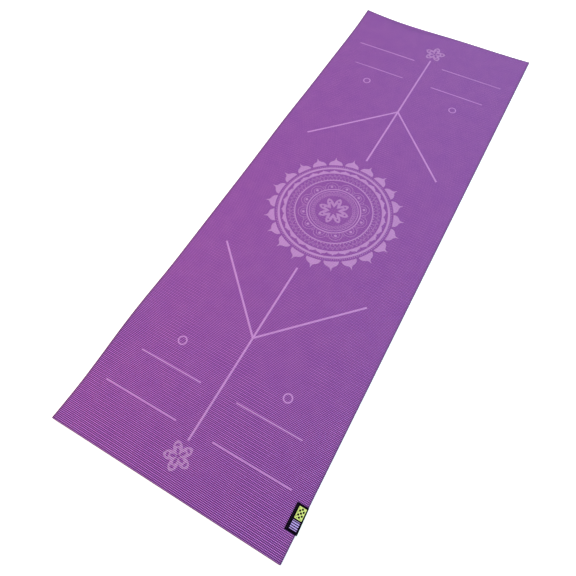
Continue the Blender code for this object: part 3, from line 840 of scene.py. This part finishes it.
# Edge label
# A woven polyester label, heat-cut at its ends, folded round the mat's edge and sewn down along
# its inner edge. Its ground is near black, with a lime panel of diamonds and a lavender panel of
# stripes. Its slack is how far the fold stands off the edge at the near end and at the far one.
LABEL_THICKNESS = 0.0004
LABEL_MARGIN = 0.0002
LABEL_SLACK = (0.0029, 0.0004)
FOLD_BULGE = 0.0018
FOLD_POWER = 0.7
CORNER_LIFT = 0.0009
CORNER_LIFT_SHARE = 0.25
CORNER_LIFT_REACH = 0.030
LEAF_PLACES = 28
FOLD_PLACES = 13
LABEL_LINES = 60
label_inner, label_near, label_far = label_low.x, label_low.y, label_high.y
LEAF_TOP = MAT_TOP - SEAT_DEPTH + LABEL_MARGIN
LEAF_BOTTOM = grip_low.z + SEAT_DEPTH - LABEL_MARGIN


def label_surface():
    """The label's middle surface from its near end to its far one: along the upper leaf, round
    the fold, which is half an ellipse squared off by a power, and back along the lower leaf. The
    upper leaf's corner by the fold lifts a little, with the square of the way to the near end."""
    along = np.linspace(0, 1, LABEL_LINES)[:, None]
    slack = LABEL_SLACK[0] + along * (LABEL_SLACK[1] - LABEL_SLACK[0])
    fold_x = HALF_WIDTH + slack - FOLD_BULGE
    leaf = np.linspace(0, 1, LEAF_PLACES)[:-1]
    angle = np.linspace(math.pi / 2, -math.pi / 2, FOLD_PLACES)
    middle, half = (LEAF_TOP + LEAF_BOTTOM) / 2, (LEAF_TOP - LEAF_BOTTOM) / 2
    upper_x = label_inner + leaf * (fold_x - label_inner)
    bend_x = fold_x + FOLD_BULGE * np.abs(np.cos(angle)) ** FOLD_POWER
    bend_z = middle + half * np.sign(np.sin(angle)) * np.abs(np.sin(angle)) ** FOLD_POWER
    x = np.hstack((upper_x, bend_x, upper_x[:, ::-1]))
    z = np.hstack((LEAF_TOP + 0 * upper_x, bend_z + 0 * slack, LEAF_BOTTOM + 0 * upper_x))
    curl = CORNER_LIFT * np.clip(1 - along / CORNER_LIFT_SHARE, 0, 1) ** 2
    curl = curl * smooth_step((x - label_inner) / CORNER_LIFT_REACH)
    y = label_near + along * (label_far - label_near) + 0 * x
    z = z + mat_lift(np.clip(x, None, HALF_WIDTH), y) + np.where(z > middle, curl, 0)
    return np.stack((x, y, z), axis=-1)


label_points = label_surface()
label_faces = grid_faces(LABEL_LINES, label_points.shape[1])
label_steps = np.diff(label_points, axis=1, prepend=label_points[:, :1])
label_run = np.cumsum(np.linalg.norm(label_steps, axis=2), axis=1)
label_width = label_far - label_near

# Woven polyester: dull, with a fine even grain of crossing yarns
label_cloth, label_tree = new_material("woven_polyester_label")
label_uv = add_node(label_tree, "UVMap", uv_map="cloth")
label_split = add_node(label_tree, "SeparateXYZ", {0: label_uv})


def between(tree, value, low, high):
    """1 where a value lies between two limits."""
    above = add_node(tree, "Math", {0: value, 1: low}, operation="GREATER_THAN")
    below = add_node(tree, "Math", {0: value, 1: high}, operation="LESS_THAN")
    return add_node(tree, "Math", {0: above, 1: below}, operation="MULTIPLY")


# Places on the cloth: how far across it from its inner edge, and how far along from its far end
PANEL_ACROSS = (0.0084, 0.0255)
LIME_ALONG = (0.0052, 0.0311)
LAVENDER_ALONG = (0.0345, 0.0533)
LIME_BORDER = 0.0015
DIAMOND_SIZE = 0.0088
DIAMOND_THRESHOLD = 0.15
STRIPE_PITCH = 0.0047
STRIPE_SHARE = 0.55
YARN_SIZE = 0.00028

in_panels = between(label_tree, (label_split, "Y"), *PANEL_ACROSS)
in_lime = between(label_tree, (label_split, "X"), *LIME_ALONG)
in_lavender = between(label_tree, (label_split, "X"), *LAVENDER_ALONG)
inner_across = between(
    label_tree, (label_split, "Y"), PANEL_ACROSS[0] + LIME_BORDER, PANEL_ACROSS[1] - LIME_BORDER
)
inner_along = between(
    label_tree, (label_split, "X"), LIME_ALONG[0] + LIME_BORDER, LIME_ALONG[1] - LIME_BORDER
)
inner_lime = add_node(label_tree, "Math", {0: inner_across, 1: inner_along}, operation="MULTIPLY")
slants = []
for operation in ("ADD", "SUBTRACT"):
    slant = add_node(
        label_tree, "Math", {0: (label_split, "X"), 1: (label_split, "Y")}, operation=operation
    )
    slant = add_node(label_tree, "Math", {0: slant, 1: 1 / DIAMOND_SIZE}, operation="MULTIPLY")
    slants.append(raised_cosine(label_tree, slant, 1.0))
diamonds = add_node(label_tree, "Math", {0: slants[0], 1: slants[1]}, operation="MULTIPLY")
diamonds = add_node(
    label_tree, "Math", {0: diamonds, 1: DIAMOND_THRESHOLD}, operation="GREATER_THAN"
)
diamonds = add_node(label_tree, "Math", {0: diamonds, 1: inner_lime}, operation="MULTIPLY")
stripes = add_node(
    label_tree, "Math", {0: (label_split, "X"), 1: 1 / STRIPE_PITCH}, operation="MULTIPLY"
)
stripes = add_node(label_tree, "Math", {0: stripes}, operation="FRACT")
stripes = add_node(label_tree, "Math", {0: stripes, 1: STRIPE_SHARE}, operation="LESS_THAN")
lime = add_node(label_tree, "Math", {0: in_lime, 1: in_panels}, operation="MULTIPLY")
lime = add_node(
    label_tree, "Math", {0: lime, 1: diamonds}, operation="SUBTRACT", use_clamp=True
)
lavender = add_node(label_tree, "Math", {0: in_lavender, 1: in_panels}, operation="MULTIPLY")
lavender = add_node(label_tree, "Math", {0: lavender, 1: stripes}, operation="MULTIPLY")
cloth = add_node(label_tree, "MixRGB", {0: lime, 1: linear("#050110"), 2: linear("#D3EC86")})
cloth = add_node(label_tree, "MixRGB", {0: lavender, 1: cloth, 2: linear("#BBA6EE")})
yarns = []
for axis in ("X", "Y"):
    yarn = add_node(
        label_tree, "Math", {0: (label_split, axis), 1: 1 / YARN_SIZE}, operation="MULTIPLY"
    )
    yarns.append(raised_cosine(label_tree, yarn, 1.0))
weave = add_node(label_tree, "Math", {0: yarns[0], 1: yarns[1]}, operation="MULTIPLY")
weave_bump = add_node(
    label_tree, "Bump", {"Strength": 0.5, "Distance": YARN_SIZE / 2, "Height": weave}
)
label_shader = add_node(label_tree, "BsdfPrincipled", {
    "Base Color": cloth, "Roughness": 0.9, "Specular IOR Level": 0.05, "Normal": weave_bump,
})
add_node(label_tree, "OutputMaterial", {0: label_shader})

label = solid_object(
    "edge_label_cloth", label_points.reshape(-1, 3), [label_faces], (label_cloth,)
)
cloth_places = np.stack((label_far - label_points[..., 1], label_run), axis=-1).reshape(-1, 2)
uv_layer = label.data.uv_layers.new(name="cloth")
uv_layer.data.foreach_set("uv", cloth_places[label_faces.ravel()].astype(np.float32).ravel())
wall = label.modifiers.new("cloth_thickness", "SOLIDIFY")
wall.thickness = LABEL_THICKNESS
wall.offset = 0
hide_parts("edge_label")
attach(label, "root")


# Label stitching
# Black spun polyester in a lockstitch: the needle thread on top and the bobbin thread beneath,
# each dipping into its holes.
STITCH_COUNT = 12
STITCH_INSET = 0.0035
STITCH_MARGIN = 0.003
STITCH_STEPS = 14
THREAD_RADIUS = 0.00017
THREAD_SIDES = 8

# Spun polyester: dull and a little fuzzy, with plies that slant round it. A wave texture's own
# diagonal wave is two tenths of pi long.
PLY_PITCH = 0.000698
PLY_DEPTH = 0.0001
thread, thread_tree = new_material("spun_polyester_thread")
thread_place = add_node(thread_tree, "TexCoord")
ply = add_node(
    thread_tree, "TexWave",
    {"Vector": (thread_place, "Object"), "Scale": 0.2 * math.pi / PLY_PITCH},
    bands_direction="DIAGONAL",
)
thread_colour = add_node(
    thread_tree, "MixRGB", {0: ply, 1: linear("#17141F"), 2: linear("#2B2735")}
)
ply_bump = add_node(thread_tree, "Bump", {"Strength": 0.5, "Distance": PLY_DEPTH, "Height": ply})
thread_shader = add_node(thread_tree, "BsdfPrincipled", {
    "Base Color": thread_colour, "Roughness": 0.6, "Normal": ply_bump,
})
add_node(thread_tree, "OutputMaterial", {0: thread_shader})


def stitched_thread(name, leaf, side, node):
    """A round thread along the stitching line. Its height is the root of a sine in each stitch,
    so it lies on the leaf and dips through it at the holes, and rings of points follow it."""
    share = np.linspace(0, 1, STITCH_COUNT * STITCH_STEPS + 1)
    y = label_near + STITCH_MARGIN + share * (label_width - 2 * STITCH_MARGIN)
    crown = np.sqrt(np.abs(np.sin(math.pi * STITCH_COUNT * share)))
    x = np.full(share.shape, label_inner + STITCH_INSET)
    rise = LABEL_THICKNESS / 2 + THREAD_RADIUS
    z = leaf + side * (crown * 2 * rise - rise) + mat_lift(x, y)
    path = np.stack((x, y, z), axis=-1)
    ahead = np.gradient(path, axis=0)
    ahead /= np.linalg.norm(ahead, axis=1, keepdims=True)
    upward = np.stack((0 * x, -ahead[:, 2], ahead[:, 1]), axis=-1)
    turns = np.linspace(0, 2 * math.pi, THREAD_SIDES, endpoint=False)[None, :, None]
    rings = path[:, None] + THREAD_RADIUS * (
        np.cos(turns) * np.array((1.0, 0, 0)) + np.sin(turns) * upward[:, None]
    )
    number = np.arange(len(share) * THREAD_SIDES).reshape(-1, THREAD_SIDES)
    number = np.hstack((number, number[:, :1]))
    a, b, c, d = number[:-1, :-1], number[:-1, 1:], number[1:, 1:], number[1:, :-1]
    walls = np.stack((d, c, b, a), axis=-1).reshape(-1, 4)
    caps = np.stack((number[0, :-1], number[-1, -2::-1]))
    tube = solid_object(name, rings.reshape(-1, 3), [walls, caps], (thread, thread), [0, 1])
    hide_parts(node)
    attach(tube, "root")


stitched_thread("needle_thread", LEAF_TOP, 1, "label_needle_thread")
stitched_thread("bobbin_thread", LEAF_BOTTOM, -1, "label_bobbin_thread")


# Floor and light
# A white floor that keeps a thin shadow at the mat's foot, and glows whiter further out. A pinkish
# lamp stands to the left and a cool one to the right. A pale one past the far end and a weak one
# over the middle veil the skin where they mirror in it, and even light comes from all round.
FLOOR_REACH = 8
FLOOR_DROP = 0.0002
FLOOR_GLOW = 0.55
GLOW_FROM, GLOW_TO = 1.2, 3.0
floor_corners = np.array(((-1, -1, 0), (1, -1, 0), (1, 1, 0), (-1, 1, 0))) * FLOOR_REACH
floor_mesh = bpy.data.meshes.new("floor")
floor_mesh.from_pydata(floor_corners.tolist(), [], [(0, 1, 2, 3)])
floor = bpy.data.objects.new("floor", floor_mesh)
floor.location.z = -FLOOR_DROP
scene.collection.objects.link(floor)
floor_white, floor_tree = new_material("white_studio_floor")
floor_path = add_node(floor_tree, "LightPath")
floor_place = add_node(floor_tree, "TexCoord")
floor_out = add_node(floor_tree, "VectorMath", {0: (floor_place, "Object")}, operation="LENGTH")
floor_shine = add_node(
    floor_tree, "MapRange", {0: (floor_out, "Value"), 1: GLOW_FROM, 2: GLOW_TO, 3: FLOOR_GLOW}
)
floor_seen = add_node(
    floor_tree, "Math", {0: (floor_path, "Is Camera Ray"), 1: floor_shine}, operation="MULTIPLY"
)
floor_paint = add_node(floor_tree, "BsdfDiffuse", {0: linear("#F6F6F6")})
floor_glow = add_node(floor_tree, "Emission", {0: (1, 1, 1, 1), 1: floor_seen})
floor_sum = add_node(floor_tree, "AddShader", {0: floor_paint, 1: floor_glow})
add_node(floor_tree, "OutputMaterial", {0: floor_sum})
floor_mesh.materials.append(floor_white)

world = bpy.data.worlds.new("studio")
scene.world = world
world.use_nodes = True
sky = world.node_tree
sky.nodes.clear()
sky_path = add_node(sky, "LightPath")
sky_seen = add_node(
    sky, "Math", {0: (sky_path, "Is Camera Ray"), 1: (sky_path, "Is Glossy Ray")},
    operation="MAXIMUM",
)
sky_seen = add_node(
    sky, "Math", {0: sky_seen, 1: (sky_path, "Is Transmission Ray")}, operation="MAXIMUM"
)
sky_soft = add_node(sky, "Background", {0: linear("#F4F4F8"), 1: 0.49})
sky_white = add_node(sky, "Background", {0: (1, 1, 1, 1), 1: 1.0})
sky_mix = add_node(sky, "MixShader", {0: sky_seen, 1: sky_soft, 2: sky_white})
add_node(sky, "OutputWorld", {0: sky_mix})


def soft_lamp(name, place, aim, size, power, colour):
    """A square area lamp at a place, facing a point."""
    data = bpy.data.lights.new(name, "AREA")
    data.shape = "SQUARE"
    data.size = size
    data.energy = power
    data.color = linear(colour)[:3]
    lamp = bpy.data.objects.new(name, data)
    turn = (Vector(place) - Vector(aim)).to_track_quat("Z", "Y").to_matrix().to_4x4()
    lamp.matrix_world = Matrix.Translation(place) @ turn
    scene.collection.objects.link(lamp)


soft_lamp("pink_left", (-1.8, -0.6, 2.0), (-0.1, -0.3, 0.0), 1.4, 42.6, "#FFA8B7")
soft_lamp("cool_right", (1.6, -0.2, 2.2), (0.1, 0.0, 0.0), 1.2, 25.2, "#B0FFF3")
soft_lamp("far_blue", (0.0, 2.3, 2.3), (0.0, 0.5, 0.0), 2.0, 30.5, "#D4ECFF")
soft_lamp("pale_middle", (-0.30, 0.05, 1.6), (0.05, -0.45, 0.0), 0.5, 2.5, "#FFFFE7")
